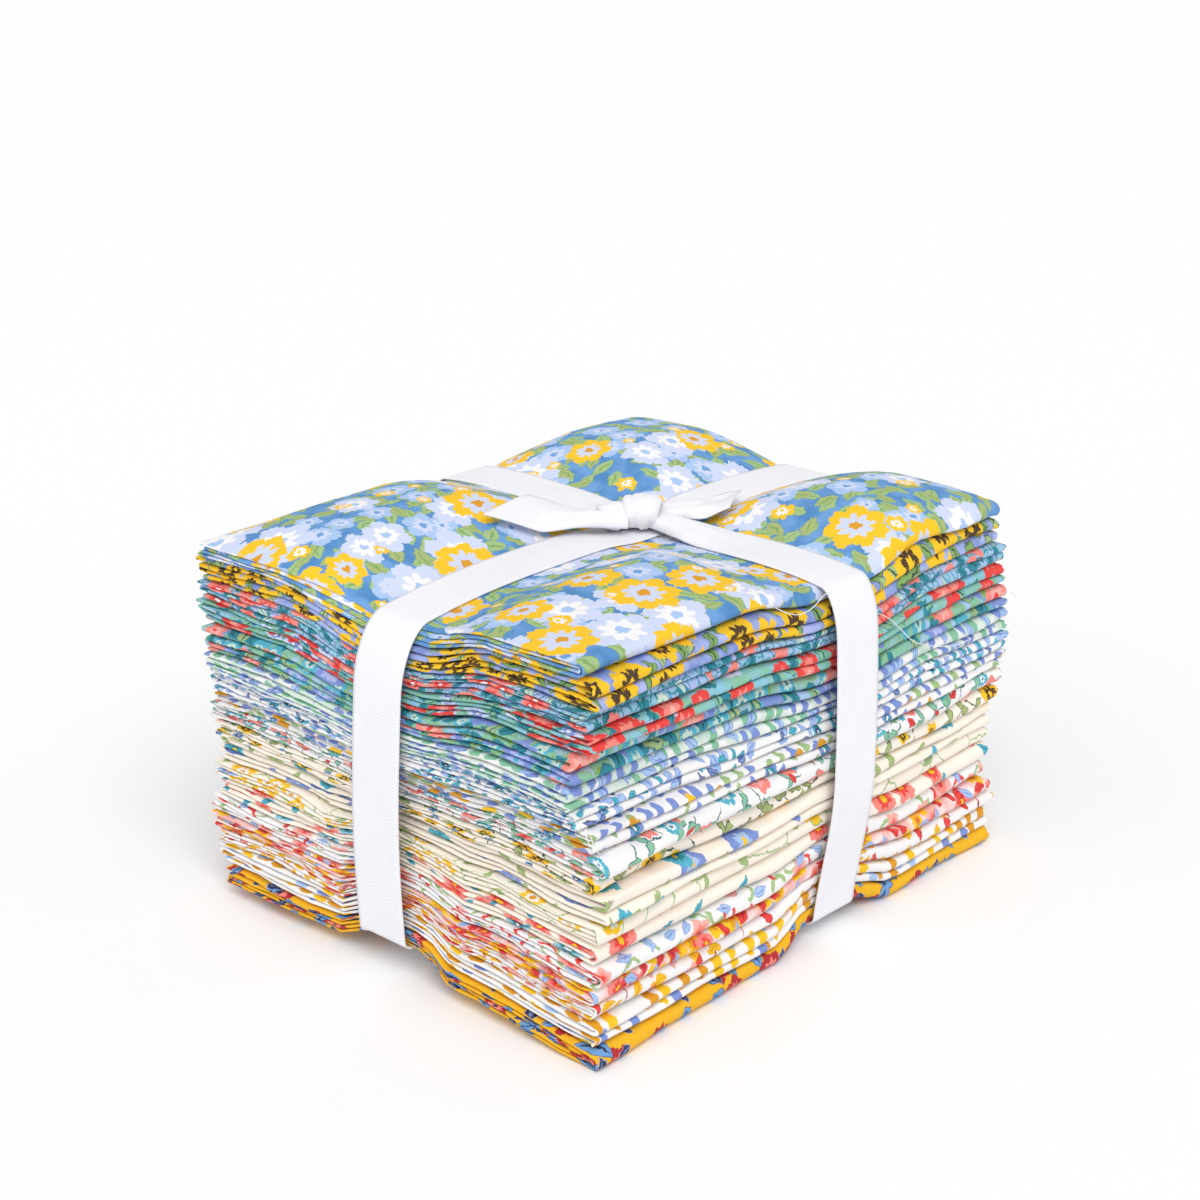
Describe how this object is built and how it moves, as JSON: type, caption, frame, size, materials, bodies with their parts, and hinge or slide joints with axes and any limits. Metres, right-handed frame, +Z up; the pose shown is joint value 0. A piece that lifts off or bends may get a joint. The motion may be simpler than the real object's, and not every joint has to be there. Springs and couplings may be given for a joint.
{
  "type": "fat quarter bundle",
  "caption": "Stack of folded printed cotton fat quarters, laid flat one on another and tied both ways with one flat white ribbon.",
  "frame": {"origin": "on the surface that the bundle stands on, under the middle of the stack", "axes": "+X along the long way of the stack, +Y across it towards its back, +Z up"},
  "size_m": [0.1688, 0.138, 0.1023],
  "materials": {
    "cotton_01": "plain woven printed cotton, matt, mid blue",
    "cotton_02": "plain woven printed cotton, matt, periwinkle",
    "cotton_03": "plain woven printed cotton, matt, light blue",
    "cotton_04": "plain woven printed cotton, matt, coral red",
    "cotton_05": "plain woven printed cotton, matt, sage green",
    "cotton_06": "plain woven printed cotton, matt, white with green leaves",
    "cotton_07": "plain woven printed cotton, matt, white with teal sprigs",
    "cotton_08": "plain woven printed cotton, matt, white with blue ovals",
    "cotton_09": "plain woven printed cotton, matt, white with teal leaves",
    "cotton_10": "plain woven printed cotton, matt, cream with olive leaves",
    "cotton_11": "plain woven printed cotton, matt, cream with blue flowers",
    "cotton_12": "plain woven printed cotton, matt, cream with green sprigs",
    "cotton_13": "plain woven printed cotton, matt, cream with coral flowers",
    "cotton_14": "plain woven printed cotton, matt, white with pink flowers",
    "cotton_15": "plain woven printed cotton, matt, dense warm flowers",
    "cotton_16": "plain woven printed cotton, matt, white with red leaves",
    "cotton_17": "plain woven printed cotton, matt, white with yellow ovals",
    "cotton_18": "plain woven printed cotton, matt, mustard",
    "ribbon": "plain white woven ribbon, matt"
  },
  "bodies": {
    "root": {"fat_quarter_01": "cotton_01", "fat_quarter_02": "cotton_02", "fat_quarter_03": "cotton_03", "fat_quarter_04": "cotton_04", "fat_quarter_05": "cotton_05", "fat_quarter_06": "cotton_06", "fat_quarter_07": "cotton_07", "fat_quarter_08": "cotton_08", "fat_quarter_09": "cotton_09", "fat_quarter_10": "cotton_10", "fat_quarter_11": "cotton_11", "fat_quarter_12": "cotton_12", "fat_quarter_13": "cotton_13", "fat_quarter_14": "cotton_14", "fat_quarter_15": "cotton_15", "fat_quarter_16": "cotton_16", "fat_quarter_17": "cotton_17", "fat_quarter_18": "cotton_18", "ribbon_long_loop": "ribbon", "ribbon_short_loop": "ribbon", "ribbon_knot": "ribbon", "ribbon_tail_left": "ribbon", "ribbon_tail_right": "ribbon"}
  },
  "joints": []
}
